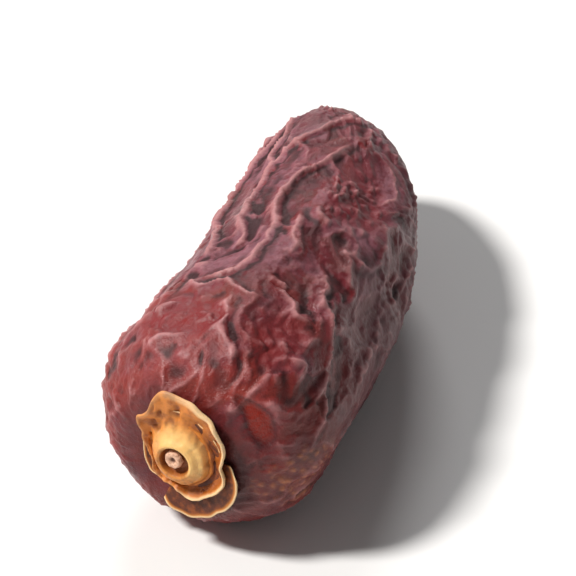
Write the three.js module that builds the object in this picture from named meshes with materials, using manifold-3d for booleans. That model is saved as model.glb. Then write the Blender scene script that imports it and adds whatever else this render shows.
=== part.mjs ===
// One dried date, the fruit of the date palm, lying on its side as it would on a table.
// Millimetres, +Z up. The fruit lies along Y: its stem end, with the woody cap, faces -Y, and its tip +Y.
// The origin is under the middle of the whole date, on the surface that it rests on.

import * as THREE from "three";
import { mergeVertices } from "three/addons/utils/BufferGeometryUtils.js";
import Module from "manifold-3d";

const wasm = await Module();
wasm.setup();

// The fruit's body, before it is bent and pressed flat.
const fruit = {
  length: 53.4, // from the stem end to the tip
  width: 20.6, // across at the middle, seen from above
  height: 20, // from the underside to the back
  taper: 0.16, // how much thinner the tip half is, and thicker the stem half
  stem: { fullness: 8, roundness: 2.6 }, // the blunt end that carried the strand
  tip: { fullness: 3, roundness: 2.2 }, // the rounder free end
  stemOffset: { x: -0.5, z: -0.9 }, // from the middle line to the middle of each end
  tipOffset: { x: -1.8, z: 0.8 },
  bendRadius: 150, // of the arc that the middle line follows, its hollow side towards -X
  seatRadius: 7, // the dish in the stem end that the cap sits in
  seatDepth: 1.9,
  pitch: 3.4, // degrees that the tip dips, so that the tapered underside lies level
  restPress: 0.5, // how far the underside is pressed flat where the date lies
  stepsAlong: 40,
  stepsAround: 52,
};

// Broad hollows where the flesh has dried away. along is from the middle towards the tip, and angle
// turns from +X up over the back. length and width are how far each reaches from its centre.
const hollows = [
  { along: 10, angle: 62, length: 6, width: 4, depth: 1.1 },
  { along: -4, angle: 28, length: 9, width: 3, depth: 0.5 },
  { along: -6, angle: 112, length: 7, width: 3, depth: 0.5 },
  { along: 7, angle: 190, length: 8, width: 3.5, depth: 0.4 },
  { along: -13, angle: 205, length: 5, width: 3.5, depth: 0.5 },
  { along: 12, angle: -8, length: 6, width: 3.5, depth: 0.7 },
  { along: -12, angle: -28, length: 6, width: 3, depth: 0.6 },
];

// Soft lengthwise furrows between the hollows.
const furrows = { count: 9, depth: 0.22, sway: 1.1, swayLength: 8 };

// The woody cap at the stem end. Heights are measured outwards from the middle of its seat.
const cap = {
  gap: 0.3, // between the pieces
  soft: 0.12, // how much small corners are rounded off
  petalInner: 1.8,
  petalOuter: 5.5,
  petalThick: 0.3,
  petalRound: 0.16, // share by which a petal is shorter at its corners than at its middle
  petalTurn: 48, // degrees below +X that the middle of the second petal points, 120 from its neighbours
  petalReach: [-0.3, 0.8, -1.6], // how much further or less far each of the three petals reaches
  cupRadius: 4.7, // on average
  cupRim: 0.35, // thickness at the edge
  cupRimWidth: 0.6,
  cupTrough: 0.12, // how far the cup dips inside its rim
  domeRadius: 2.8,
  domeHeight: 1.75, // above the cup's underside at its middle
  craterRadius: 1.45,
  craterLip: 0.3,
  craterFloor: 0.85, // above the cup's underside at its middle
  stubRadius: 0.9,
  stubHeight: 0.5,
  stubOffset: { x: -0.2, z: 0.12 }, // from the middle of the crater
  dimpleRadius: 0.35,
  dimpleDepth: 0.25,
  petalStepsOut: 8,
  petalStepsAcross: 14,
  stepsAround: 48,
};

// How much further out than its average the cup's edge is at an angle from +X, as shares of that
// average: it reaches far up to the right and hardly past the dome on the lower left, with blunt corners.
const cupReach = [
  { share: 0.35, times: 1, turn: -60 },
  { share: -0.14, times: 2, turn: 0 },
  { share: 0.05, times: 3, turn: 90 },
  { share: 0.03, times: 6, turn: 57 },
];

const skinMaterial = new THREE.MeshStandardMaterial({ color: 0x5a2a30, roughness: 0.42, metalness: 0 });
const petalMaterial = new THREE.MeshStandardMaterial({ color: 0xb9833f, roughness: 0.6, metalness: 0 });
const cupMaterial = new THREE.MeshStandardMaterial({ color: 0xd59440, roughness: 0.5, metalness: 0 });
const stubMaterial = new THREE.MeshStandardMaterial({ color: 0xc79a7a, roughness: 0.7, metalness: 0 });

const { degToRad, lerp, smoothstep } = THREE.MathUtils;

// Calls move(point) for each vertex of a geometry and keeps what it makes of the point.
function reshape(geometry, move) {
  const position = geometry.attributes.position;
  const point = new THREE.Vector3();
  for (let i = 0; i < position.count; i++) {
    move(point.fromBufferAttribute(position, i));
    position.setXYZ(i, point.x, point.y, point.z);
  }
  return geometry;
}

// A closed geometry as a solid that can be cut and joined, and back.
function toSolid(geometry) {
  const bare = new THREE.BufferGeometry();
  bare.setAttribute("position", geometry.attributes.position);
  bare.setIndex(geometry.index);
  const merged = mergeVertices(bare, 1e-4);
  return new wasm.Manifold(
    new wasm.Mesh({
      numProp: 3,
      vertProperties: merged.attributes.position.array,
      triVerts: new Uint32Array(merged.index.array),
    }),
  );
}

function toGeometry(solid) {
  const mesh = solid.getMesh();
  const geometry = new THREE.BufferGeometry();
  geometry.setAttribute("position", new THREE.BufferAttribute(mesh.vertProperties, 3));
  geometry.setIndex(new THREE.BufferAttribute(mesh.triVerts, 1));
  return geometry;
}

function namedMesh(name, geometry, material) {
  const mesh = new THREE.Mesh(geometry, material);
  mesh.name = name;
  return mesh;
}

// The fruit's radius at a share of its half length, -1 at the stem end and 1 at the tip.
function fruitRadius(share) {
  const end = share < 0 ? fruit.stem : fruit.tip;
  const round = (1 - Math.abs(share) ** end.fullness) ** (1 / end.roundness);
  return (fruit.width / 2) * round * (1 - fruit.taper * share);
}

// How far the dish is pressed into the stem end at a radius.
function dishDepth(radius) {
  return fruit.seatDepth * Math.max(0, 1 - (radius / fruit.seatRadius) ** 2) ** 2;
}

// How high the stem end stands at a radius, measured outwards from the middle of its dish.
function endHeight(radius) {
  const round = (2 * radius) / fruit.width / (1 + fruit.taper);
  const share = (1 - round ** fruit.stem.roundness) ** (1 / fruit.stem.fullness);
  return fruit.seatDepth - dishDepth(radius) - ((1 - share) * fruit.length) / 2;
}

// The outline from the stem end to the tip, as radius and place along the middle line. The shares
// crowd towards both ends, and the dish for the cap is pressed into the stem end.
function fruitOutline() {
  const points = [];
  for (let i = 0; i <= fruit.stepsAlong; i++) {
    const share = -Math.cos((Math.PI * i) / fruit.stepsAlong);
    const atPole = i === 0 || i === fruit.stepsAlong;
    const radius = atPole ? 0 : fruitRadius(share);
    const dish = share < 0 ? dishDepth(radius) : 0;
    points.push(new THREE.Vector2(radius, (share * fruit.length) / 2 + dish));
  }
  return points;
}

// How far the surface is moved in or out at a place along the fruit and an angle round it.
function surfaceShift(along, angle) {
  const share = (2 * along) / fruit.length;
  const fade = Math.max(0, 1 - share ** 4);
  const wave = furrows.count * angle + furrows.sway * Math.sin(along / furrows.swayLength);
  let shift = furrows.depth * fade * Math.cos(wave);
  for (const hollow of hollows) {
    let turn = angle - degToRad(hollow.angle);
    turn = Math.atan2(Math.sin(turn), Math.cos(turn));
    const across = (turn * fruit.width) / 2 / hollow.width;
    const lengthwise = (along - hollow.along) / hollow.length;
    shift -= hollow.depth * Math.exp(-across * across - lengthwise * lengthwise);
  }
  return shift;
}

// Bends what stands along Y into an arc about a centre at -X.
function bend(point) {
  const turn = point.y / fruit.bendRadius;
  const reach = fruit.bendRadius + point.x;
  point.x = reach * Math.cos(turn) - fruit.bendRadius;
  point.y = reach * Math.sin(turn);
}

function makeFruit() {
  const geometry = new THREE.LatheGeometry(fruitOutline(), fruit.stepsAround);
  reshape(geometry, (point) => {
    const radius = Math.hypot(point.x, point.z);
    const angle = Math.atan2(point.z, point.x);
    const shift = radius > 0 ? 1 + surfaceShift(point.y, angle) / (fruit.width / 2) : 1;
    const offset = point.y < 0 ? fruit.stemOffset : fruit.tipOffset;
    const share = 1 - smoothstep(radius, fruit.seatRadius * 0.8, fruit.width / 2);
    point.x = point.x * shift + share * offset.x;
    point.z = (point.z * shift * fruit.height) / fruit.width + share * offset.z;
    bend(point);
  });
  geometry.rotateX(-degToRad(fruit.pitch));
  geometry.computeBoundingBox();
  const floor = new THREE.BoxGeometry(2 * fruit.width, 2 * fruit.length, fruit.height);
  floor.translate(0, 0, geometry.boundingBox.min.z + fruit.restPress - fruit.height / 2);
  return toGeometry(toSolid(geometry).subtract(toSolid(floor)));
}

// Turns a lathed shape, which stands along +Y, so that its top faces -Y.
function lathed(outline) {
  const points = outline.map(([radius, height]) => new THREE.Vector2(radius, height));
  return new THREE.LatheGeometry(points, cap.stepsAround).rotateX(Math.PI);
}

// The three petals start as one saucer that follows the fruit's end, and is cut into lobes.
function makeSaucer() {
  const outer = cap.petalOuter + Math.max(...cap.petalReach);
  const steps = cap.petalStepsOut;
  const upper = [];
  const lower = [];
  for (let i = 0; i <= steps; i++) {
    const radius = lerp(cap.petalInner, outer, i / steps);
    const base = endHeight(radius) + cap.gap;
    lower.push([radius, base]);
    upper.unshift([radius, base + cap.petalThick]);
  }
  return toSolid(lathed([...lower, ...upper, lower[0]]));
}

// One petal's outline from above: a third of a ring, round at its outer corners, with a slit on each
// side. turn is where its middle points.
function petalOutline(turn, reach) {
  const outline = new THREE.Shape();
  const halfSpan = Math.PI / 3;
  const steps = cap.petalStepsAcross;
  const point = (radius, angle) => [radius * Math.cos(turn + angle), radius * Math.sin(turn + angle)];
  outline.moveTo(...point(cap.petalInner, halfSpan - cap.gap / 2 / cap.petalInner));
  outline.lineTo(...point(cap.petalInner, cap.gap / 2 / cap.petalInner - halfSpan));
  for (let i = 0; i <= steps; i++) {
    const share = (2 * i) / steps - 1;
    const radius = (cap.petalOuter + reach) * (1 - cap.petalRound * share ** 4);
    outline.lineTo(...point(radius, share * (halfSpan - cap.gap / 2 / radius)));
  }
  outline.closePath();
  return outline;
}

function makePetal(saucer, turn, reach) {
  const depth = 4 * cap.petalOuter;
  const cutter = new THREE.ExtrudeGeometry(petalOutline(turn, reach), { depth, bevelEnabled: false });
  cutter.translate(0, 0, -depth / 2).rotateX(-Math.PI / 2);
  cutter.setIndex([...Array(cutter.attributes.position.count).keys()]);
  return toGeometry(saucer.intersect(toSolid(cutter)));
}

const cupBase = cap.gap + cap.petalThick + cap.gap; // above the fruit's end
const cupEdge = cupBase + endHeight(cap.cupRadius);
const domeTop = cupBase + cap.domeHeight;
const craterBase = cupBase + cap.craterFloor;

// The cup over the petals: a thin plate that rises to an off-centre dome with a crater. It is lathed
// round the dome's axis, and then its plate is carried out to its edge and laid along the petals.
function makeCup() {
  const middle = (cap.petalInner + cap.cupRadius) / 2;
  const cup = lathed([
    [0, cupBase],
    [cap.petalInner, cupBase + endHeight(cap.petalInner)],
    [middle, cupBase + endHeight(middle)],
    [cap.cupRadius, cupEdge],
    [cap.cupRadius + cap.soft, cupEdge + cap.cupRim / 2],
    [cap.cupRadius, cupEdge + cap.cupRim],
    [cap.cupRadius - cap.cupRimWidth, cupEdge + cap.cupRim - cap.cupTrough],
    [cap.domeRadius, cupBase + endHeight(cap.domeRadius) + cap.cupRim],
    [cap.craterRadius + 2 * cap.craterLip, domeTop - 2 * cap.soft],
    [cap.craterRadius + cap.craterLip, domeTop],
    [cap.craterRadius, domeTop - cap.soft],
    [cap.craterRadius - cap.soft, craterBase + cap.soft],
    [cap.craterRadius - cap.craterLip, craterBase],
    [0, craterBase],
  ]);
  return reshape(cup, (point) => {
    const radius = Math.hypot(point.x, point.z);
    const angle = Math.atan2(point.z, point.x);
    const edge = smoothstep(radius, cap.craterRadius + cap.craterLip, cap.cupRadius);
    let reach = 0;
    for (const { share, times, turn } of cupReach) {
      reach += share * Math.cos(times * angle + degToRad(turn));
    }
    point.x *= 1 + edge * reach;
    point.z *= 1 + edge * reach;
    point.y -= endHeight(radius * (1 + edge * reach)) - endHeight(radius);
  });
}

// What is left of the strand that the fruit hung from, in the crater.
function makeStub() {
  const base = craterBase + cap.gap;
  const top = base + cap.stubHeight;
  const stub = lathed([
    [0, base],
    [cap.stubRadius, base],
    [cap.stubRadius, top - cap.soft],
    [cap.stubRadius - cap.soft, top],
    [cap.dimpleRadius, top],
    [cap.dimpleRadius / 2, top - cap.dimpleDepth],
    [0, top - cap.dimpleDepth],
  ]);
  return stub.translate(cap.stubOffset.x, 0, cap.stubOffset.z);
}

// The cap's pieces in a group of their own, at the middle of the seat and square to the bent end.
function makeCap() {
  const group = new THREE.Group();
  const saucer = makeSaucer();
  cap.petalReach.forEach((reach, i) => {
    const petal = makePetal(saucer, degToRad(cap.petalTurn + 120 * (i - 1)), reach);
    group.add(namedMesh(`petal_${i + 1}`, petal, petalMaterial));
  });
  group.add(namedMesh("calyx_cup", makeCup(), cupMaterial));
  group.add(namedMesh("stalk_stub", makeStub(), stubMaterial));
  const seat = new THREE.Vector3(fruit.stemOffset.x, fruit.seatDepth - fruit.length / 2, fruit.stemOffset.z);
  group.rotation.z = seat.y / fruit.bendRadius;
  bend(seat);
  group.position.copy(seat);
  return group;
}

// The whole date is lifted onto the surface that it lies on and centred over the origin.
const date = new THREE.Group();
const dipped = new THREE.Group();
dipped.rotation.x = -degToRad(fruit.pitch);
dipped.add(makeCap());
date.add(namedMesh("fruit", makeFruit(), skinMaterial), dipped);
const size = new THREE.Box3().setFromObject(date, true);
const middle = size.getCenter(new THREE.Vector3());
date.position.set(-middle.x, -middle.y, -size.min.z);

export default date;
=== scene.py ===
import bpy
import math
import numpy as np
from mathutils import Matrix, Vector


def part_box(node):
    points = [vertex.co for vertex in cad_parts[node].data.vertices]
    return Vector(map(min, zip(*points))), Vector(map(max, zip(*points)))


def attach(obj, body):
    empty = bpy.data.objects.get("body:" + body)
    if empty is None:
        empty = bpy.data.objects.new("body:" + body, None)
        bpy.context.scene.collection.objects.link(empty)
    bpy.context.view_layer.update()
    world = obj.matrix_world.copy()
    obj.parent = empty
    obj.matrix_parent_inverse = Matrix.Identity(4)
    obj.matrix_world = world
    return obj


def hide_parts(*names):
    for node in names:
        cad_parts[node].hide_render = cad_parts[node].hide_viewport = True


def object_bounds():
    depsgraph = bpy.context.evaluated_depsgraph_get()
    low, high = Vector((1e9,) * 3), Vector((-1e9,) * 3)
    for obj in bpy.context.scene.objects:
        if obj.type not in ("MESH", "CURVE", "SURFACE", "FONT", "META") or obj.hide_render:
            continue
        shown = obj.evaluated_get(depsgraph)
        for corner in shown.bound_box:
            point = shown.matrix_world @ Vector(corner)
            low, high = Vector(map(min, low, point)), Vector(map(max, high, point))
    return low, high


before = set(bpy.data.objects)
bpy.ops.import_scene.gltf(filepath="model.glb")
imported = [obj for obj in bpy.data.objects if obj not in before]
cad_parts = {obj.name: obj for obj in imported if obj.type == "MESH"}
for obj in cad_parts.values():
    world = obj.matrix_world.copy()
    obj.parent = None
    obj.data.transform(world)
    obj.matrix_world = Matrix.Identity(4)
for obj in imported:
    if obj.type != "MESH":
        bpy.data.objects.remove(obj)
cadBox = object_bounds()
millimetre = 0.001


# ---- numbers that look random but come out the same every time

latticeSize = 32  # noise and cells repeat after this many


def smoothNoise(points, seed):
    # Random numbers from -1 to 1 on a lattice one unit wide, eased from each corner to the next
    size = latticeSize
    lattice = np.random.default_rng(seed).uniform(-1, 1, (size, size, size))
    low = np.floor(points).astype(int)
    part = points - low
    ease = part * part * (3 - 2 * part)
    total = 0
    for corner in np.ndindex(2, 2, 2):
        weight = np.prod(np.where(corner, ease, 1 - ease), axis=-1)
        x, y, z = np.moveaxis((low + corner) % size, -1, 0)
        total = total + weight * lattice[x, y, z]
    return total


def cells(points, seed):
    # Cells round one random centre in each unit cube. Gives the distance to the nearest centre, how
    # much further the next one is, which is nought on the borders, and a random number for each cell
    size = latticeSize
    centres = np.random.default_rng(seed).random((size, size, size, 4))
    low = np.floor(points).astype(int)
    nearest = np.full(points.shape[:-1], 9.0)
    second = nearest.copy()
    chosen = np.zeros(points.shape[:-1])
    for corner in np.ndindex(3, 3, 3):
        cube = low + corner - 1
        x, y, z = np.moveaxis(cube % size, -1, 0)
        centre = centres[x, y, z]
        away = np.linalg.norm(cube + centre[..., :3] - points, axis=-1)
        closer = away < nearest
        second = np.where(closer, nearest, np.minimum(second, away))
        chosen = np.where(closer, centre[..., 3], chosen)
        nearest = np.where(closer, away, nearest)
    return nearest, second - nearest, chosen


def step(value, start, end):
    # Eases from 0 at start to 1 at end, as 3 times the square less twice the cube
    part = np.clip((value - start) / (end - start), 0, 1)
    return part * part * (3 - 2 * part)


def stacked(x, y, z):
    # Points from their three coordinates, each an array or one number
    return np.stack(np.broadcast_arrays(x, y, z), axis=-1)


# ---- meshes from grids

def addMesh(name, points, faces, masks=None):
    # Makes an object of points in millimetres, its faces outwards, with a mask for each attribute
    points = np.asarray(points) * millimetre
    corners = np.array([face[:3] for face in faces])
    a, b, c = points[corners[:, 0]], points[corners[:, 1]], points[corners[:, 2]]
    if np.einsum("ij,ij->", a - points.mean(axis=0), np.cross(b - a, c - a)) < 0:
        faces = [face[::-1] for face in faces]
    mesh = bpy.data.meshes.new(name)
    mesh.from_pydata(points.tolist(), [], faces)
    mesh.shade_smooth()
    for mask, values in (masks or {}).items():
        mesh.attributes.new(mask, "FLOAT", "POINT").data.foreach_set("value", values.astype(np.float32))
    made = bpy.data.objects.new(name, mesh)
    bpy.context.collection.objects.link(made)
    return made


def lathed(name, rings, masks=None):
    # Joins rings of points, whose first and last are each one pole, into a closed skin
    count, around = rings.shape[:2]
    points = np.concatenate([rings[:1, 0], rings[1:-1].reshape(-1, 3), rings[-1:, 0]])
    ring = np.arange(count - 2)[:, None] * around + 1
    side = np.arange(around)
    after = (side + 1) % around
    here, there = ring[:-1], ring[1:]
    walls = np.stack([here + side, here + after, there + after, there + side], axis=-1).reshape(-1, 4)
    last = len(points) - 1
    start = np.stack([0 * side, after + 1, side + 1], axis=-1)
    end = np.stack([0 * side + last, ring[-1] + side, ring[-1] + after], axis=-1)
    kept = {
        mask: np.concatenate([values[:1, 0], values[1:-1].ravel(), values[-1:, 0]])
        for mask, values in (masks or {}).items()
    }
    return addMesh(name, points, walls.tolist() + start.tolist() + end.tolist(), kept)


def shell(name, upper, lower, masks=None):
    # Closes two grids of points, one above the other, along their four sides
    rows, columns = upper.shape[:2]
    index = np.arange(rows * columns).reshape(rows, columns)

    def sheet(places):
        return np.stack([places[:-1, :-1], places[:-1, 1:], places[1:, 1:], places[1:, :-1]], axis=-1)

    rim = np.concatenate([index[0, :-1], index[:-1, -1], index[-1, :0:-1], index[:0:-1, 0]])
    after = np.roll(rim, -1)
    under = rows * columns
    faces = np.concatenate([
        sheet(index).reshape(-1, 4),
        sheet(index)[..., ::-1].reshape(-1, 4) + under,
        np.stack([rim + under, after + under, after, rim], axis=-1),
    ])
    points = np.concatenate([upper.reshape(-1, 3), lower.reshape(-1, 3)])
    kept = {mask: np.tile(values.ravel(), 2) for mask, values in (masks or {}).items()}
    return addMesh(name, points, faces.tolist(), kept)


# ---- the fruit, in millimetres and degrees. along runs from the middle towards the tip, and angle
# turns from +X up over the back

fruit = {
    "length": 53.4,
    "width": 20.6,
    "height": 20,
    "taper": 0.16,
    "stem": (8, 2.6),  # fullness and roundness of the blunt end
    "tip": (3, 2.2),
    "stemOffset": (-0.5, -0.9),  # sideways and up, from the middle line to the middle of each end
    "tipOffset": (-1.8, 0.8),
    "bendRadius": 150,
    "seatRadius": 7,
    "seatDepth": 1.9,
    "pitch": 3.4,
    "restPress": 0.5,
    "furrows": (9, 0.22),  # how many run lengthwise round it, and how deep
    "rings": 300,
    "seatRings": 20,  # those in the middle of the seat
    "around": 320,
    # along, angle, length, width and depth of the broad hollows where the flesh has dried away
    "hollows": [
        (10, 62, 6, 4, 1.1),
        (-4, 28, 9, 3, 0.5),
        (-6, 112, 7, 3, 0.5),
        (7, 190, 8, 3.5, 0.4),
        (-13, 205, 5, 3.5, 0.5),
        (12, -8, 6, 3.5, 0.7),
        (-12, -28, 6, 3, 0.6),
    ],
    "skinLift": 0.15,  # how far the skin's crests stand over the body
    "highest": 0.25,  # what would stand or lie past these two is drawn back towards them
    "lowest": -0.6,
    "drawnBack": 0.3,
    "stemFade": (4.8, 7.3),  # distances from the middle of an end over which the relief grows
    "tipFade": (0.5, 6),
    "warp": [(4.5, 1.3, 1), (1.5, 0.34, 4), (0.7, 0.1, 14)],  # size, reach and seed of each noise
    # Sizes of cells across and along, how deep they lie, how wide their ridges and slopes are
    "facets": {"size": (3.8, 6.4, 3.8), "depth": 0.5, "ridge": 0.22, "slope": 2.4},
    "chips": {"size": (1.8, 2.7, 1.8), "depth": 0.23, "ridge": 0.14, "slope": 0.9},
    "crumples": {"size": (0.85, 1.1, 0.85), "depth": 0.208},
    # Wavy raised lines: the size of their noise across and along, height and half width
    "lines": {"size": (2.6, 9, 2.6), "height": 0.2, "width": 0.24},
    "threads": {"size": (1.5, 4.5, 1.5), "height": 0.09, "width": 0.17},
    # Folds of skin that stand up, steep on one side: height, half width and way over the fruit as
    # along and angle
    "foldHeight": 0.42,
    "foldEnds": 2.5,
    "folds": [
        (0.7, 0.32, [(22, 152), (12, 160), (2, 163), (-5, 165), (-13, 163), (-19, 162), (-23, 158)]),
        (0.9, 0.34, [(21, 134), (14, 149), (8, 151), (2, 149), (-1, 138), (-4, 129), (-8, 126), (-9, 134)]),
        (0.9, 0.34, [(22, 122), (14, 134), (9, 126), (5, 122), (-2, 117), (-6, 110), (-8, 116)]),
        (0.8, 0.32, [(20, 66), (19, 82), (15, 104), (12, 120), (8, 130)]),
        (1, 0.4, [(14, 76), (11, 88), (6, 101), (1, 102), (-5, 97), (-10, 94), (-13, 104), (-14, 118)]),
        (0.7, 0.4, [(0, 88), (-3, 86), (-7, 80), (-9, 82)]),
        (0.8, 0.3, [(-7, 66), (-11, 56), (-14, 40), (-17, 31), (-21, 25)]),
        (0.7, 0.35, [(-11, 84), (-13, 72), (-15, 62), (-14.5, 50)]),
        (0.7, 0.3, [(-13, 126), (-15, 112), (-14, 100), (-16, 88), (-15, 76)]),
        (0.6, 0.3, [(-17, 152), (-17, 138), (-15, 124)]),
        (0.6, 0.3, [(-21, 150), (-19.5, 132), (-18, 116), (-18, 106)]),
        (0.6, 0.3, [(-24, 128), (-22.5, 112), (-22, 98)]),
        (0.8, 0.4, [(-16, 96), (-19, 88), (-22, 80), (-24.5, 66)]),
        (0.6, 0.3, [(-17, 60), (-20, 53), (-19, 44), (-22, 38)]),
        (0.7, 0.35, [(-17, 32), (-20, 16), (-23, 4)]),
    ],
    # The knotted seam over the tip and down the side
    "seamWay": [(24, 112), (20, 78), (18.5, 62), (16.5, 38), (13, 22), (8, 15), (2, 13), (-5, 19),
                (-10, 16), (-16, 8)],
    "seamHeight": 0.315,
    "seamWidth": 0.55,
    "seamKnots": 1.5,  # from one knot to the next
    # Patches where the skin is thin and the flesh shows red, with small pimples: along, angle, half
    # length and half width
    "rawPatches": [
        (6.5, 66, 6.5, 3.8),
        (-20, 112, 3, 4.5),
        (-19, 60, 3.5, 2.2),
        (-24.9, 36, 1.4, 3),
        (3, 215, 5, 3),
        (-14, 290, 4, 3),
        (13, -40, 4, 2.5),
    ],
    "pimples": {"size": 1.3, "height": 0.45, "sink": 0.25, "width": 0.42},
    # Creases pressed into the skin: along, angle, half length, half width, depth and how wet
    "gashes": [
        (-24.9, 37, 1.1, 3, 0.6, 1),
        (-12.6, 66, 0.45, 2.8, 0.6, 0),
        (-19, 33, 2.2, 0.5, 0.3, 0.3),
    ],
    # Where small warts crowd together, and how large they are
    "wartPatch": (-23, -10, 4.5, 4),
    "warts": {"size": 0.75, "height": 0.16, "width": 0.33},
    "shadedFlankAngle": -25,  # the side that gets painted shade and less of the lilac bloom and painted sheen
    "shadeRoundCap": (6, 8.5),  # distances from the middle of the stem end over which the painted shade round the cap ends
}


def endDish(radius):
    # The seat's depth, which falls off as the square of what is left of its squared radius
    return fruit["seatDepth"] * np.clip(1 - (radius / fruit["seatRadius"]) ** 2, 0, None) ** 2


def bodyRadius(share):
    # From -1 at the stem end to 1 at the tip: a rounded outline, made narrower towards the tip
    fullness, roundness = np.where(share[..., None] < 0, fruit["stem"], fruit["tip"]).T
    outline = np.clip(1 - np.abs(share) ** fullness, 0, None) ** (1 / roundness)
    return fruit["width"] / 2 * outline * (1 - fruit["taper"] * share)


def bodyOutline(count):
    # The outline from the stem end to the tip, at even steps over the surface: radius, place along
    # the middle line and distance run over the surface from the middle of the seat
    share = -np.cos(np.linspace(0, np.pi, 4000))
    radius = bodyRadius(share)
    along = share * fruit["length"] / 2 + np.where(share < 0, endDish(radius), 0)
    run = np.concatenate([[0], np.cumsum(np.hypot(np.diff(radius), np.diff(along)))])
    even = np.linspace(0, run[-1], count)
    return np.interp(even, run, radius), np.interp(even, run, along), even


def turnFrom(angle, degrees):
    # How far an angle is past a direction, in radians up to half a turn either way
    past = angle - math.radians(degrees)
    return np.arctan2(np.sin(past), np.cos(past))


def ridge(away, width, power=1):
    # Falls from 1 on a line to 1/e at one width away from it
    return np.exp(-((away / width) ** power))


def broadShape(along, angle):
    # Moves the surface in and out: hollows shaped as soft bells, and swaying lengthwise furrows
    share = 2 * along / fruit["length"]
    count, depth = fruit["furrows"]
    wave = count * angle + 1.1 * np.sin(along / 8)
    shift = depth * np.clip(1 - share**4, 0, None) * np.cos(wave)
    for place, turn, length, width, depth in fruit["hollows"]:
        across = turnFrom(angle, turn) * fruit["width"] / 2 / width
        shift = shift - depth * np.exp(-across * across - ((along - place) / length) ** 2)
    return shift


def bent(points):
    # Bends what stands along Y into an arc about a centre at -X, and dips the tip
    turn = points[..., 1] / fruit["bendRadius"]
    reach = fruit["bendRadius"] + points[..., 0]
    x = reach * np.cos(turn) - fruit["bendRadius"]
    y = reach * np.sin(turn)
    dip = math.radians(fruit["pitch"])
    z = points[..., 2]
    return stacked(x, y * math.cos(dip) + z * math.sin(dip), z * math.cos(dip) - y * math.sin(dip))


def wayDistance(way, run, angle, runOf):
    # For each place on the unrolled surface: the distance to a way, how far along the way that is,
    # the way's length, and the side, from -1 on the right to 1 on the left of someone walking it
    reach = fruit["width"] / 2
    stops = [(float(runOf(place)), turn) for place, turn in way]
    best = np.full(run.shape, 99.0)
    gone = np.zeros(run.shape)
    side = np.zeros(run.shape)
    passed = 0
    for (runA, turnA), (runB, turnB) in zip(stops, stops[1:]):
        across = turnFrom(angle, turnA) * reach
        sideways = (math.radians(turnB) - math.radians(turnA)) * reach
        length = math.hypot(runB - runA, sideways)
        share = np.clip(((run - runA) * (runB - runA) + across * sideways) / length**2, 0, 1)
        away = np.hypot(run - runA - share * (runB - runA), across - share * sideways)
        left = ((runB - runA) * across - sideways * (run - runA)) / length
        gone = np.where(away < best, passed + share * length, gone)
        side = np.where(away < best, left / np.maximum(away, 0.05), side)
        best = np.minimum(best, away)
        passed += length
    return best, gone, passed, side


def spotDistance(spot, run, angle, runOf):
    # How far each place is from the middle of a spot, in the spot's half lengths and half widths
    place, turn, length, width = spot
    across = turnFrom(angle, turn) * fruit["width"] / 2
    return np.hypot(across / width, (run - runOf(place)) / length)


def lineDistance(field, run, radius):
    # Roughly how far each place is from the lines where a field of noise crosses nought, in
    # millimetres: its value over its slope
    alongSlope = np.gradient(field, axis=0) / np.gradient(run, axis=0)
    turned = np.roll(field, -1, axis=1) - np.roll(field, 1, axis=1)
    acrossSlope = turned * fruit["around"] / (4 * np.pi * np.maximum(radius, 1))
    return np.abs(field) / np.hypot(np.hypot(alongSlope, acrossSlope), 0.05)


def blurred(height):
    # Evens a grid out with its neighbours, both ways, 40 times
    for _ in range(40):
        height = (np.roll(height, 1, axis=1) + 2 * height + np.roll(height, -1, axis=1)) / 4
        padded = np.pad(height, ((1, 1), (0, 0)), mode="edge")
        height = (padded[:-2] + 2 * height + padded[2:]) / 4
    return height


def skinPlaces(run, angle, radius):
    # Places on a barrel that stays wide at its ends, pushed about by noise of three sizes, and the
    # three pushes
    around = 3.6 + 0.65 * radius
    places = stacked(around * np.cos(angle), run, around * np.sin(angle))
    pushes = [
        stacked(*[smoothNoise(places / size, seed + part) for part in range(3)])
        for size, _, seed in fruit["warp"]
    ]
    for (_, reach, _), push in zip(fruit["warp"], pushes):
        places = places + reach * push
    return places, pushes


def foldRelief(run, angle, runOf):
    # A fold is a crest along its way with a slope on its right and a crease on its left, lower at
    # its ends. Gives the height, the crest lines, the creases and the distance to the nearest fold
    height, lines, crease, nearest = 0, 0, 0, 99
    for tall, wide, way in fruit["folds"]:
        away, gone, whole, side = wayDistance(way, run, angle, runOf)
        ends = step(gone, 0, fruit["foldEnds"]) * step(whole - gone, 0, fruit["foldEnds"])
        ends = 0.2 + 0.8 * ends
        crest = ends * ridge(away, wide, 1.3)
        slope = ends * ridge(away, 4 * wide) * step(side, 0.5, -0.5)
        height = np.maximum(height, tall * (0.6 * crest + 0.55 * slope))
        crease = np.maximum(crease, tall * ends * ridge(away - 0.6, 0.3, 2) * step(side, 0, 0.6))
        lines = np.maximum(lines, crest**1.6)
        nearest = np.minimum(nearest, away + 2 * (1 - ends))
    return height, lines, crease, nearest


def raisedLines(kind, places, push, run, radius, seed):
    # Ridges where stretched and pushed noise crosses nought
    field = smoothNoise(places / kind["size"] + push, seed)
    return ridge(lineDistance(field, run, radius), kind["width"], 1.2)


def seamRelief(run, angle, runOf, ripple):
    # A rounded seam whose height rises and falls from knot to knot and fades at its ends
    away, gone, whole, _ = wayDistance(fruit["seamWay"], run, angle, runOf)
    knots = 0.7 + 0.3 * np.cos(2 * np.pi * gone / fruit["seamKnots"] + 2 * ripple)
    return step(gone, 0, 2) * step(whole - gone, 0, 4) * knots * ridge(away, fruit["seamWidth"], 1.5)


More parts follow.
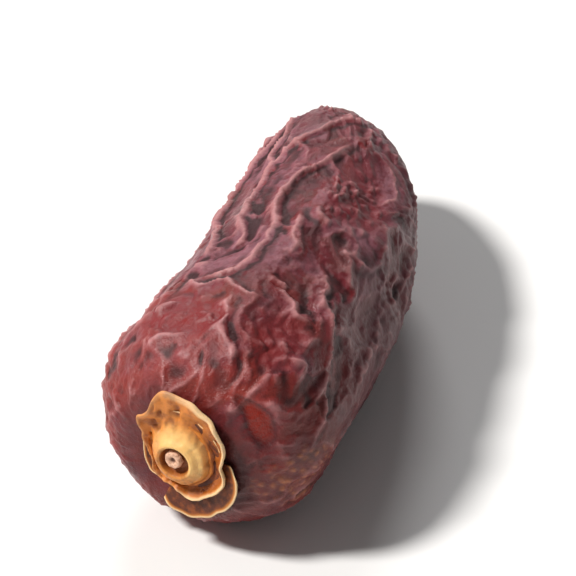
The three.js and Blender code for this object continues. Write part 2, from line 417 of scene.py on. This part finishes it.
def skinRelief(run, angle, radius, along, runOf):
    # Height of the skin over the broad shape, and the masks that its colours follow. It sinks from
    # the borders of three sizes of cells, and folds, lines, threads, warts and the seam stand on it
    places, (sway, ripple, fine) = skinPlaces(run, angle, radius)
    # Everything gets lower where it crowds together at the tip, and under the cap
    squeeze = np.where(along < 0, step(radius, *fruit["stemFade"]), step(radius, *fruit["tipFade"]))
    patches = smoothNoise(places / 8, 7)
    busy = step(smoothNoise(places / 6, 8), -0.6, 0.5)
    lively = 0.4 + 0.6 * busy
    broken = 0.3 + 0.7 * step(smoothNoise(places / 2.6, 33), -0.35, 0.35)
    raw = 0
    for patch in fruit["rawPatches"]:
        away = spotDistance(patch, run, angle, runOf) + 0.25 * sway[..., 2] + 0.12 * ripple[..., 2]
        raw = np.maximum(raw, 1 - step(away, 0.7, 1.15))

    swayRun = run + 0.5 * sway[..., 0] + 0.35 * ripple[..., 0] + 0.1 * fine[..., 0]
    swayTurn = 0.5 * sway[..., 1] + 0.4 * ripple[..., 1] + 0.12 * fine[..., 1]
    swayAngle = angle + swayTurn / (fruit["width"] / 2)
    foldHeight, foldLines, crease, foldAway = foldRelief(swayRun, swayAngle, runOf)

    # Facets, whose borders give way to the folds near them
    facets = fruit["facets"]
    _, border, panel = cells(places / facets["size"] + 0.12 * ripple, 11)
    nearFold = 0.8 * step(foldAway, 3.5, 1.5)
    border = np.hypot(1.9 * border, 0.06) * (1 - nearFold) + np.hypot(foldAway, 0.06) * nearFold
    border = border + 0.3 * raw
    facetLines = ridge(border, facets["ridge"]) * broken
    sink = 0.35 * (1 - facetLines) + 0.3 * (1 - ridge(border, 1.2))
    sink = sink + 0.5 * np.clip(border / facets["slope"], 0, 1)
    height = -facets["depth"] * sink * (0.85 + 0.3 * patches + 0.5 * (panel - 0.5))
    height = height + fruit["foldHeight"] * (foldHeight - 0.15 * crease)

    wavyLines = raisedLines(fruit["lines"], places, 0, run, radius, 17)
    wavyLines = wavyLines * step(smoothNoise(places / 5, 19), -0.6, 0.1)
    height = height + fruit["lines"]["height"] * wavyLines
    broad = height
    threads = raisedLines(fruit["threads"], places, 0.4 * sway, run, radius, 35)
    threads = threads * step(smoothNoise(places / 3.5, 37), -0.4, 0.3)
    height = height + fruit["threads"]["height"] * threads

    chips = fruit["chips"]
    _, border, chip = cells(places / chips["size"] + 0.3 * sway, 12)
    border = np.hypot(0.9 * border, 0.05)
    chipLines = ridge(border, chips["ridge"]) * broken
    sink = 0.25 * (1 - chipLines) + 1.1 * np.clip(border / chips["slope"], 0, 1)
    height = height - chips["depth"] * lively * sink
    _, border, _ = cells(places / fruit["crumples"]["size"], 13)
    height = height - fruit["crumples"]["depth"] * lively * np.clip(border, 0, 0.7)

    pimples = fruit["pimples"]
    middle, _, _ = cells(places / pimples["size"], 27)
    bumps = pimples["height"] * ridge(middle, pimples["width"], 2)
    height = height + raw * (bumps - pimples["sink"])
    warts = fruit["warts"]
    away = spotDistance(fruit["wartPatch"], run, angle, runOf) + 0.2 * sway[..., 1]
    middle, _, _ = cells(places / warts["size"], 29)
    wart = (1 - step(away, 0.6, 1.1)) * ridge(middle, warts["width"], 2)
    height = height + warts["height"] * wart
    height = height + fruit["seamHeight"] * seamRelief(swayRun, swayAngle, runOf, ripple[..., 2])

    # Gashes are ovals, pointed towards the back
    wet = 0
    for place, turn, length, width, depth, wetness in fruit["gashes"]:
        across = turnFrom(angle, turn) * np.maximum(radius, 3) / width + 0.15 * ripple[..., 0]
        lengthwise = (run - runOf(place)) / length + 0.1 * ripple[..., 1]
        lengthwise = lengthwise * (1 + 0.7 * np.clip(across, 0, 1))
        pressed = ridge(np.hypot(across, lengthwise), 1, 4)
        height = height * (1 - 0.7 * wetness * pressed) - depth * pressed
        wet = np.maximum(wet, wetness * pressed)

    for limit, end in ((np.minimum, fruit["highest"]), (np.maximum, fruit["lowest"])):
        height = limit(height, end + fruit["drawnBack"] * (height - end))
    height = height * squeeze
    proud = height - blurred(height)
    low = blurred(broad) - broad
    lines = np.max([
        foldLines, 0.8 * facetLines, 0.7 * wavyLines, 0.6 * chipLines * busy, 0.7 * threads], axis=0)
    masks = {
        # paler crests, partly the skin's own paler colour and partly painted highlight where they catch the
        # light
        "crest": np.clip(proud / 0.24, 0, 1) * 0.5 + 0.45 * lines * squeeze * (1 - 0.5 * raw),
        # painted shade: darker in the hollows between raised parts and along the creases beside the folds
        "hollowShade": np.clip(low / 0.2 + 0.3 * crease, 0, 1) * (1 - 0.7 * raw) * (1 - 0.8 * wet) * squeeze,
        "wart": wart,
        "wet": wet,
        # painted shade on the side turned away from the light
        "shadedFlank": step(np.cos(angle - math.radians(fruit["shadedFlankAngle"])), 0.2, 0.9),
        # painted shade on the skin round and under the cap
        "shadeRoundCap": (along < 0) * (1 - step(radius + 0.6 * sway[..., 0], *fruit["shadeRoundCap"])),
        "raw": raw,
        "ripe": 1 - step(along, -25, -6),
        "panel": panel,
        "chip": chip,
        # patches of lilac bloom, partly painted sheen
        "bloomAndSheen": step(smoothNoise(places / 5, 9) + 0.5 * patches, -0.3, 0.7),
    }
    return height + fruit["skinLift"] * squeeze, masks


def makeFruit():
    # Radius and place along come from the outline, turned once round, then the relief is added along
    # the outward direction at each place
    outlineRadius, outlineAlong, outlineRun = bodyOutline(fruit["rings"])

    def runOf(place):
        # Leaves out the middle of the seat, whose places come again further out
        start = fruit["seatRings"]
        return np.interp(place, outlineAlong[start:], outlineRun[start:])

    angle = np.linspace(0, 2 * np.pi, fruit["around"], endpoint=False)
    radius, along, run, angle = np.broadcast_arrays(
        outlineRadius[:, None], outlineAlong[:, None], outlineRun[:, None], angle)
    wide = radius * (1 + broadShape(along, angle) / (fruit["width"] / 2))
    x = wide * np.cos(angle)
    z = wide * np.sin(angle) * fruit["height"] / fruit["width"]
    pull = 1 - step(radius, fruit["seatRadius"] * 0.8, fruit["width"] / 2)
    offset = np.where(along[..., None] < 0, fruit["stemOffset"], fruit["tipOffset"])
    smooth = bent(stacked(x + pull * offset[..., 0], along, z + pull * offset[..., 1]))

    low, high = [np.array(corner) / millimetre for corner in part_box("fruit")]
    shift = (low + high) / 2 - (smooth.min(axis=(0, 1)) + smooth.max(axis=(0, 1))) / 2
    shift[2] = -smooth[..., 2].min() - fruit["restPress"]

    byRing = np.gradient(smooth, axis=0)
    bySide = np.roll(smooth, -1, axis=1) - np.roll(smooth, 1, axis=1)
    outward = np.cross(byRing, bySide)
    outward /= np.maximum(np.linalg.norm(outward, axis=-1, keepdims=True), 1e-9)
    outward[0], outward[-1] = outward[1].mean(axis=0), outward[-2].mean(axis=0)

    rise, masks = skinRelief(run, angle, radius, along, runOf)
    skin = smooth + shift + outward * rise[..., None]
    skin[..., 2] = np.maximum(skin[..., 2], 0)
    skin[0], skin[-1] = skin[0].mean(axis=0), skin[-1].mean(axis=0)
    made = lathed("fruitSkin", skin, masks)
    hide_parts("fruit")
    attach(made, "root")
    return made, shift


def endHeight(radius):
    # How far the stem end stands out past the middle of its seat, at a distance from the middle line
    fullness, roundness = fruit["stem"]
    share = 2 * radius / fruit["width"] / (1 + fruit["taper"])
    share = (1 - share**roundness) ** (1 / fullness)
    return fruit["seatDepth"] - endDish(radius) - (1 - share) * fruit["length"] / 2


def onStem(x, height, z, shift):
    # Places what is built round the cap's own axis on the stem end
    base = fruit["seatDepth"] - fruit["length"] / 2
    offsetX, offsetZ = fruit["stemOffset"]
    return bent(stacked(x + offsetX, base - height, z + offsetZ)) + shift


def carriedRound(stops, steps, around):
    # Even steps along a line through the stops, as distances from the axis and heights, and the
    # angles that they are carried round by
    stops = np.array(stops, float)
    gone = np.concatenate([[0], np.cumsum(np.hypot(*np.diff(stops, axis=0).T))])
    even = np.linspace(0, gone[-1], steps)
    angle = np.linspace(0, 2 * np.pi, around, endpoint=False)
    radius, height = [np.interp(even, gone, part)[:, None] for part in stops.T]
    return np.broadcast_arrays(radius, height, angle)


# ---- the petals, in millimetres: heights stand outwards from the middle of the seat

petal = {
    "gap": 0.3,
    "inner": 1.8,
    "outer": 5.5,
    "reach": (-0.3, 0.8, -1.6),  # how far each petal's outer edge is past the outer radius
    "thick": 0.3,
    "turn": 48,
    "curl": 0.25,
    "ragged": 0.15,
    "wrinkle": 0.06,
    "out": 50,
    "across": 90,
}


def makePetal(number, shift):
    # A third of a ring that follows the fruit's end, with a bowed outer edge that curls up with the
    # sixth power of the distance out
    turn = math.radians(petal["turn"] + 120 * (number - 1))
    across = np.linspace(-1, 1, petal["across"])[:, None]
    out = np.linspace(0, 1, petal["out"])
    outer = petal["outer"] + petal["reach"][number]
    outer = outer + petal["ragged"] * smoothNoise(stacked(6 * across, number, 0), 31)
    outer = outer * (1 - 0.16 * across**4)
    radius = petal["inner"] + (outer - petal["inner"]) * out
    angle = turn + across * (math.pi / 3 - petal["gap"] / 2 / radius)
    base = endHeight(radius) + petal["gap"]
    spot = stacked(radius * np.cos(angle), 0, radius * np.sin(angle))
    wrinkle = petal["wrinkle"] * smoothNoise(spot / 0.8, 32 + number)
    curl = petal["curl"] * out**6 + petal["ragged"] * out**3 * smoothNoise(spot / 2.5, 35 + number)
    thick = petal["thick"] * (1 - 0.6 * out**4) * (1 - 0.5 * across**8)
    x, z = radius * np.cos(angle), -radius * np.sin(angle)
    upper = onStem(x, base + curl + thick + wrinkle, z, shift)
    lower = onStem(x, base + curl, z, shift)
    masks = {"edge": np.broadcast_to(out, upper.shape[:2]) ** 12}
    made = shell(f"petal{number + 1}", upper, lower, masks)
    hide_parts(f"petal_{number + 1}")
    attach(made, "root")
    return made


# ---- the woody cup over the petals

cup = {
    "radius": 4.7,
    "rim": 0.3,
    "reach": [(0.35, 1, -60), (-0.14, 2, 0), (0.05, 3, 90), (0.03, 6, 57)],  # share, times round, turn
    # Bumps and notches in the edge: angle, half width and share
    "nicks": [(104, 11, 0.08), (122, 9, -0.09), (139, 9, 0.14), (68, 8, -0.05), (8, 8, -0.07), (32, 9, 0.04)],
    "domeRadius": 2.8,
    "domeHeight": 1.75,
    "craterRadius": 1.45,
    "craterFloor": 0.85,
    "fibres": 0.09,
    "lumps": 0.07,
    "swell": 0.12,
    "pits": 0.4,
    "hollow": 0.35,
    "curl": 0.2,
    "steps": 200,
    "around": 260,
}


def makeCup(shift):
    # The outline is carried round the axis, its plate is pushed out to an uneven edge that follows
    # the petals, and radial fibres, lumps and pits are added to its upper side
    base = 2 * petal["gap"] + petal["thick"]
    rim = cup["radius"]
    edge = base + float(endHeight(rim))
    top = base + cup["domeHeight"]
    crater = cup["craterRadius"]
    dome = cup["domeRadius"]
    foot = base + float(endHeight(dome)) + 0.2
    radius, height, angle = carriedRound([
        (0, base),
        (petal["inner"], base + endHeight(petal["inner"])),
        (0.7 * rim, base + endHeight(0.7 * rim)),
        (rim, edge),
        (rim + 0.1, edge + 0.7 * cup["rim"]),
        (rim, edge + 1.2 * cup["rim"]),
        (rim - 0.25, edge + 0.9 * cup["rim"]),
        (rim - 0.6, edge + 0.05),
        (dome + 0.7, foot),
        (dome + 0.35, foot + 0.12),
        (dome - 0.1, foot + 0.5),
        (crater + 0.85, top - 0.4),
        (crater + 0.55, top - 0.12),
        (crater + 0.3, top),
        (crater + 0.05, top - 0.1),
        (crater - 0.12, base + cup["craterFloor"] + 0.2),
        (crater - 0.4, base + cup["craterFloor"]),
        (0, base + cup["craterFloor"]),
    ], cup["steps"], cup["around"])
    upper = np.arange(cup["steps"])[:, None] > 0.3 * cup["steps"]
    outwards = step(radius, crater + 0.3, rim)
    circle = stacked(np.cos(angle), 0 * angle, np.sin(angle))
    spot = stacked(radius * np.cos(angle), height, radius * np.sin(angle))

    reach = 0.025 * smoothNoise(3 * circle, 21) + 0.012 * smoothNoise(9 * circle, 22)
    for share, times, turn in cup["reach"]:
        reach = reach + share * np.cos(times * angle + math.radians(turn))
    for place, width, share in cup["nicks"]:
        reach = reach + share * ridge(turnFrom(angle, place), math.radians(width), 2)
    spread = radius * (1 + outwards * reach)
    lay = endHeight(spread) - endHeight(radius)

    plate = upper * step(radius, dome - 0.2, dome + 0.4) * (1 - step(radius, rim - 0.5, rim - 0.1))
    fibres = smoothNoise(stacked(8 * np.cos(angle), spread / 1.2, 8 * np.sin(angle)), 23)
    pits = np.clip(smoothNoise(spot / 0.45, 26) - 0.15, 0, 1) * plate
    hollow = plate * step(np.cos(angle + 0.2), -0.2, 0.8)
    rise = cup["fibres"] * fibres * outwards + cup["lumps"] * smoothNoise(spot / 0.6, 24)
    rise = rise * step(radius, crater, crater + 0.8)
    rise = rise + cup["swell"] * smoothNoise(spot / 1.4, 28) * step(radius, crater, crater + 0.5)
    rise = upper * rise - cup["pits"] * pits - cup["hollow"] * hollow
    curl = outwards**4 * cup["curl"] * smoothNoise(1.5 * circle, 25)
    # Painted highlight: the dome is palest, and the edge pale, on the sides that these two directions face
    domeHighlightSide = 0.15 + 0.85 * step(np.cos(angle - 1), -0.5, 0.7)
    rimHighlightSide = 0.2 + 0.8 * step(np.cos(angle), -0.3, 0.4)
    masks = {
        "dome": upper * (1 - step(radius, crater + 0.9, dome + 0.6)) * domeHighlightSide,
        "crater": upper * (1 - step(radius, crater - 0.1, crater + 0.2)),
        # a pale rim all round, with painted highlight on the side facing +X
        "edge": upper * step(radius, rim - 0.35, rim - 0.1) * rimHighlightSide,
        "hollow": np.clip(hollow + 1.5 * pits, 0, 1),
        "fibre": fibres * 0.5 + 0.5,
    }
    made = lathed("calyxCup", onStem(
        spread * np.cos(angle), height + lay + rise + curl, spread * np.sin(angle), shift), masks)
    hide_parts("calyx_cup")
    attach(made, "root")
    return made


# ---- the stub of the strand, in the cup's crater

stub = {
    "radius": 0.9,
    "height": 0.5,
    "offset": (-0.2, 0.12),
    "dimple": 0.25,
    "torn": 0.07,
    "uneven": 0.08,
    "steps": 60,
    "around": 72,
}


def makeStub(shift):
    # A short peg carried round its axis, with a torn, dimpled end
    base = 3 * petal["gap"] + petal["thick"] + cup["craterFloor"]
    wide = stub["radius"]
    top = base + stub["height"]
    radius, height, angle = carriedRound([
        (0, base),
        (wide, base),
        (0.95 * wide, base + 0.6 * stub["height"]),
        (0.8 * wide, top),
        (0.5 * wide, top),
        (0.2 * wide, top - stub["dimple"]),
        (0, top - stub["dimple"]),
    ], stub["steps"], stub["around"])
    low = base + 0.3 * stub["height"]
    spot = stacked(radius * np.cos(angle), height, radius * np.sin(angle))
    torn = stub["torn"] * smoothNoise(spot / 0.3, 41) * step(height, low, top)
    side = stacked(3 * np.cos(angle), height, 3 * np.sin(angle))
    spread = radius * (1 + stub["uneven"] * smoothNoise(side, 42))
    x = spread * np.cos(angle) + stub["offset"][0]
    z = spread * np.sin(angle) + stub["offset"][1]
    masks = {"dimple": (1 - step(radius, 0.15 * wide, 0.45 * wide)) * (height > low)}
    made = lathed("stalkStub", onStem(x, height + torn, z, shift), masks)
    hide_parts("stalk_stub")
    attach(made, "root")
    return made


# ---- finishes

def shade(red, green, blue):
    # A colour as it shows, 0 to 255, as the light it stands for
    return [(part / 255 / 12.92) if part < 10.3 else ((part / 255 + 0.055) / 1.055) ** 2.4
            for part in (red, green, blue)] + [1]


class Wire:
    # A value in a material that can be used in sums
    def __init__(self, finish, socket):
        self.finish = finish
        self.socket = socket

    def sum(self, operation, *values):
        return self.finish.node("ShaderNodeMath", {"operation": operation}, dict(enumerate(values)))

    def __add__(self, other):
        return self.sum("ADD", self, other)

    def __sub__(self, other):
        return self.sum("SUBTRACT", self, other)

    def __rsub__(self, other):
        return self.sum("SUBTRACT", other, self)

    def __mul__(self, other):
        return self.sum("MULTIPLY", self, other)

    __radd__ = __add__
    __rmul__ = __mul__


class Finish:
    def __init__(self, name):
        self.material = bpy.data.materials.new(name)
        self.material.use_nodes = True
        self.tree = self.material.node_tree
        self.tree.nodes.clear()

    def node(self, kind, settings=None, sockets=None, output=0):
        made = self.tree.nodes.new(kind)
        for name, value in (settings or {}).items():
            setattr(made, name, value)
        for name, value in (sockets or {}).items():
            if isinstance(value, Wire):
                self.tree.links.new(value.socket, made.inputs[name])
            else:
                made.inputs[name].default_value = value
        return Wire(self, made.outputs[output]) if len(made.outputs) else None

    def place(self, scale):
        # The piece's own coordinates in metres, times a scale for each direction
        spot = self.node("ShaderNodeTexCoord", output="Object")
        return self.node("ShaderNodeVectorMath", {"operation": "MULTIPLY"}, {0: spot, 1: scale}, "Vector")

    def mask(self, name):
        return self.node("ShaderNodeAttribute", {"attribute_name": name}, output="Fac")

    def noise(self, size, detail=3, seed=0, roughness=0.55):
        # size in millimetres
        spot = self.place([1000 / size] * 3)
        spot = self.node("ShaderNodeVectorMath", {"operation": "ADD"}, {0: spot, 1: [seed, 0, 0]}, "Vector")
        return self.node("ShaderNodeTexNoise", None, {
            "Vector": spot, "Scale": 1, "Detail": detail, "Roughness": roughness}, "Fac")

    def ease(self, value, start, end):
        return self.node("ShaderNodeMapRange", {"interpolation_type": "SMOOTHSTEP"}, {
            "Value": value, "From Min": start, "From Max": end})

    def mix(self, first, second, share):
        return self.node("ShaderNodeMix", {"data_type": "RGBA"}, {0: share, 6: first, 7: second}, 2)

    def bump(self, height, distance, strength=1):
        return self.node("ShaderNodeBump", None, {
            "Height": height, "Distance": distance * millimetre, "Strength": strength}, "Normal")

    def finish(self, pieces, sockets):
        surface = self.node("ShaderNodeBsdfPrincipled", None, sockets)
        self.node("ShaderNodeOutputMaterial", None, {"Surface": surface})
        for piece in pieces:
            piece.data.materials.clear()
            piece.data.materials.append(self.material)


skinLook = {
    "body": shade(102, 34, 42),
    # Dark colour for painted shade, and for the dark rims of the wet gashes
    "dark": shade(42, 6, 10),
    "red": shade(118, 28, 32),
    "raw": shade(116, 30, 34),
    "ripe": shade(144, 48, 38),
    # Lilac bloom, partly painted sheen
    "lilac": shade(146, 96, 108),
    # Pale crest colour, partly painted highlight
    "crest": shade(196, 136, 136),
    "brown": shade(88, 56, 50),
    "rust": shade(184, 110, 66),
    "wet": shade(134, 34, 20),
    "grain": 0.13,  # how high the fine grain stands, in millimetres
}


def finishSkin(piece):
    skin = Finish("driedSkin")
    crest, hollowShade, bloomAndSheen, raw = skin.mask("crest"), skin.mask("hollowShade"), skin.mask("bloomAndSheen"), skin.mask("raw")
    ripe = skin.mask("ripe")
    panel, chip, shadeRoundCap, wart = [skin.mask(name) for name in ("panel", "chip", "shadeRoundCap", "wart")]
    wet, shadedFlank = skin.mask("wet"), skin.mask("shadedFlank")
    cloud = skin.noise(4, 4, 5)
    speckle = skin.noise(0.6, 4, 9, 0.65)
    grain = skin.noise(0.16, 2, 3, 0.7)
    colour = skin.mix(skinLook["body"], skinLook["red"], skin.ease(panel + cloud * 0.6, 0.75, 1.35) * 0.8)
    colour = skin.mix(colour, skinLook["brown"], skin.ease(chip + cloud, 1.15, 1.6) * 0.5)
    # Less lilac bloom and painted sheen on the side with painted shade
    litSide = 1 - 0.75 * shadedFlank
    # Lilac bloom, partly painted sheen, in patches
    colour = skin.mix(colour, skinLook["lilac"], litSide * skin.ease(cloud * 0.6 - chip, -0.3, 0.3) * 0.35)
    colour = skin.mix(colour, skinLook["lilac"], litSide * bloomAndSheen * skin.ease(speckle, 0.3, 0.65) * 0.6)
    colour = skin.mix(colour, skinLook["ripe"], ripe * skin.ease(cloud + speckle * 0.4, 0.4, 0.9) * 0.8)
    colour = skin.mix(colour, skinLook["raw"], raw * 0.6)
    # Painted shade round the cap, and on the side turned away from the light
    colour = skin.mix(colour, skinLook["dark"], shadeRoundCap * 0.45 + shadedFlank * 0.35)
    # Painted shade in the hollows and creases
    colour = skin.mix(colour, skinLook["dark"], skin.ease(hollowShade + speckle * 0.4, 0.3, 1) * 0.92)
    colour = skin.mix(colour, skinLook["rust"], wart * 0.85)
    colour = skin.mix(colour, skinLook["dark"], skin.ease(wet, 0.02, 0.4) * 0.6)
    colour = skin.mix(colour, skinLook["wet"], skin.ease(wet + cloud * 0.5, 0.5, 1.3) * 0.9)
    # Pale crests, partly their own colour and partly painted highlight, with less on the side with painted
    # shade
    paleAndHighlight = skin.ease(crest + speckle * 0.25, 0.25, 1.15) * (0.8 - 0.2 * shadedFlank)
    colour = skin.mix(colour, skinLook["crest"], paleAndHighlight)
    skin.finish([piece], {
        "Base Color": colour,
        "Roughness": 0.24 + 0.2 * bloomAndSheen + 0.16 * speckle + 0.25 * hollowShade - 0.16 * wet,
        "Normal": skin.bump(grain * 0.4 + speckle, skinLook["grain"]),
        "Specular IOR Level": 0.4,
        "Subsurface Weight": 0.03,
        "Subsurface Radius": [0.0008, 0.0003, 0.0002],
    })


# The colours that the cup, the petals and the stub share
capLook = {
    "amber": shade(214, 128, 42),
    # Painted highlight on the dome
    "creamHighlight": shade(252, 212, 134),
    "brown": shade(136, 64, 8),
    "dark": shade(74, 28, 8),
    # Pale rims, partly painted highlight
    "paleAndHighlight": shade(236, 200, 150),
    "pink": shade(226, 180, 150),
}


def finishCup(piece):
    wood = Finish("cupWood")
    fibre, dome, crater, edge = wood.mask("fibre"), wood.mask("dome"), wood.mask("crater"), wood.mask("edge")
    blotch = wood.noise(1.1, 4, 2)
    grain = wood.noise(0.12, 3, 7)
    hollow = wood.mask("hollow")
    colour = wood.mix(capLook["amber"], capLook["brown"], wood.ease(blotch + fibre * 0.3, 0.55, 0.9) * 0.85)
    colour = wood.mix(colour, capLook["brown"], hollow * 0.8)
    # Painted highlight on one side of the dome
    colour = wood.mix(colour, capLook["creamHighlight"], dome * (0.95 - 0.5 * blotch))
    # A pale rim all round, with painted highlight on the side facing +X
    colour = wood.mix(colour, capLook["paleAndHighlight"], edge * 0.9)
    colour = wood.mix(colour, capLook["brown"], crater * 0.9)
    wood.finish([piece], {
        "Base Color": colour,
        "Roughness": 0.34 + 0.25 * blotch,
        "Normal": wood.bump(grain + fibre * 0.6, 0.05),
        "Subsurface Weight": 0.12,
        "Subsurface Radius": [0.001, 0.0005, 0.0002],
    })


def finishPetals(pieces):
    paper = Finish("petalPaper")
    edge = paper.mask("edge")
    blotch = paper.noise(0.9, 4, 4)
    grain = paper.noise(0.15, 3, 6)
    colour = paper.mix(capLook["brown"], capLook["dark"], paper.ease(blotch, 0.3, 0.55) * 0.9)
    colour = paper.mix(colour, capLook["amber"], paper.ease(edge + blotch * 0.2, 0.3, 0.65) * 0.8)
    # Painted highlight along the petal's outer rim
    colour = paper.mix(colour, capLook["paleAndHighlight"], paper.ease(edge, 0.45, 0.8))
    paper.finish(pieces, {
        "Base Color": colour,
        "Roughness": 0.5 + 0.2 * blotch,
        "Normal": paper.bump(grain, 0.05),
    })


def finishStub(piece):
    wood = Finish("stubWood")
    grain = wood.noise(0.18, 3, 8)
    colour = wood.mix(capLook["pink"], capLook["brown"], wood.ease(grain, 0.45, 0.75) * 0.6)
    colour = wood.mix(colour, capLook["dark"], wood.mask("dimple") * 0.9)
    wood.finish([piece], {
        "Base Color": colour,
        "Roughness": 0.55 + 0.2 * grain,
        "Normal": wood.bump(grain, 0.06),
    })


# ---- floor, light and camera

studio = {
    "floor": (0.86, 0.855, 0.85, 1),
    "floorReach": 20,
    "world": 0.15,
    "wall": 1.02,
    "key": ((-0.6, -0.28, 0.8), 10, 4, (1, 0.98, 0.95)),  # direction, spread, power and colour
    "back": ((-0.3, 0.75, 0.6), 20, 1.05, (1, 1, 1)),
    "azimuth": 18,
    "elevation": 38.8,
    "distance": 0.45,
    "lens": 300,
}


def addFloor():
    # One flat square
    mesh = bpy.data.meshes.new("floor")
    far = studio["floorReach"]
    mesh.from_pydata([(-far, -far, 0), (far, -far, 0), (far, far, 0), (-far, far, 0)], [], [(0, 1, 2, 3)])
    floor = bpy.data.objects.new("floor", mesh)
    bpy.context.collection.objects.link(floor)
    paint = Finish("floorPaint")
    paint.finish([floor], {"Base Color": studio["floor"], "Roughness": 0.85})


def addLight(name, direction, spread, power, colour):
    # A light far away in a direction from the date, and how widely it spreads in degrees
    lamp = bpy.data.lights.new(name, "SUN")
    lamp.energy = power
    lamp.angle = math.radians(spread)
    lamp.color = colour
    light = bpy.data.objects.new(name, lamp)
    light.rotation_euler = (-Vector(direction)).to_track_quat("-Z", "Y").to_euler()
    bpy.context.collection.objects.link(light)


def addWorld():
    # Lights the date dimly from all round, and shows as a pale wall behind the floor
    world = bpy.data.worlds.new("studio")
    bpy.context.scene.world = world
    world.use_nodes = True
    nodes, links = world.node_tree.nodes, world.node_tree.links
    nodes.clear()
    mixed = nodes.new("ShaderNodeMixShader")
    for slot, strength in ((1, studio["world"]), (2, studio["wall"])):
        plain = nodes.new("ShaderNodeBackground")
        plain.inputs["Strength"].default_value = strength
        plain.inputs["Color"].default_value = (1, 1, 1, 1)
        links.new(plain.outputs[0], mixed.inputs[slot])
    path = nodes.new("ShaderNodeLightPath")
    links.new(path.outputs["Is Camera Ray"], mixed.inputs["Fac"])
    links.new(mixed.outputs[0], nodes.new("ShaderNodeOutputWorld").inputs["Surface"])


def addStudio():
    # The lights, and a camera that looks at the middle of the date from its azimuth and elevation
    scene = bpy.context.scene
    scene.view_settings.view_transform = "Standard"
    addWorld()
    addLight("key", *studio["key"])
    addLight("back", *studio["back"])
    middle = (Vector(cadBox[0]) + Vector(cadBox[1])) / 2
    camera = bpy.data.cameras.new("camera")
    camera.lens = studio["lens"]
    camera.clip_start = 0.01
    eye = bpy.data.objects.new("camera", camera)
    azimuth, elevation = math.radians(studio["azimuth"]), math.radians(studio["elevation"])
    flat = math.cos(elevation)
    back = Vector((flat * math.sin(azimuth), -flat * math.cos(azimuth), math.sin(elevation)))
    eye.location = middle + studio["distance"] * back
    eye.rotation_euler = (-back).to_track_quat("-Z", "Y").to_euler()
    bpy.context.collection.objects.link(eye)
    scene.camera = eye


fruitSkin, shift = makeFruit()
print("fruit made")
calyxCup = makeCup(shift)
petals = [makePetal(number, shift) for number in range(3)]
stalkStub = makeStub(shift)
print("cap made")
finishSkin(fruitSkin)
finishCup(calyxCup)
finishPetals(petals)
finishStub(stalkStub)
print("finishes made")
addFloor()
addStudio()
print("studio made")
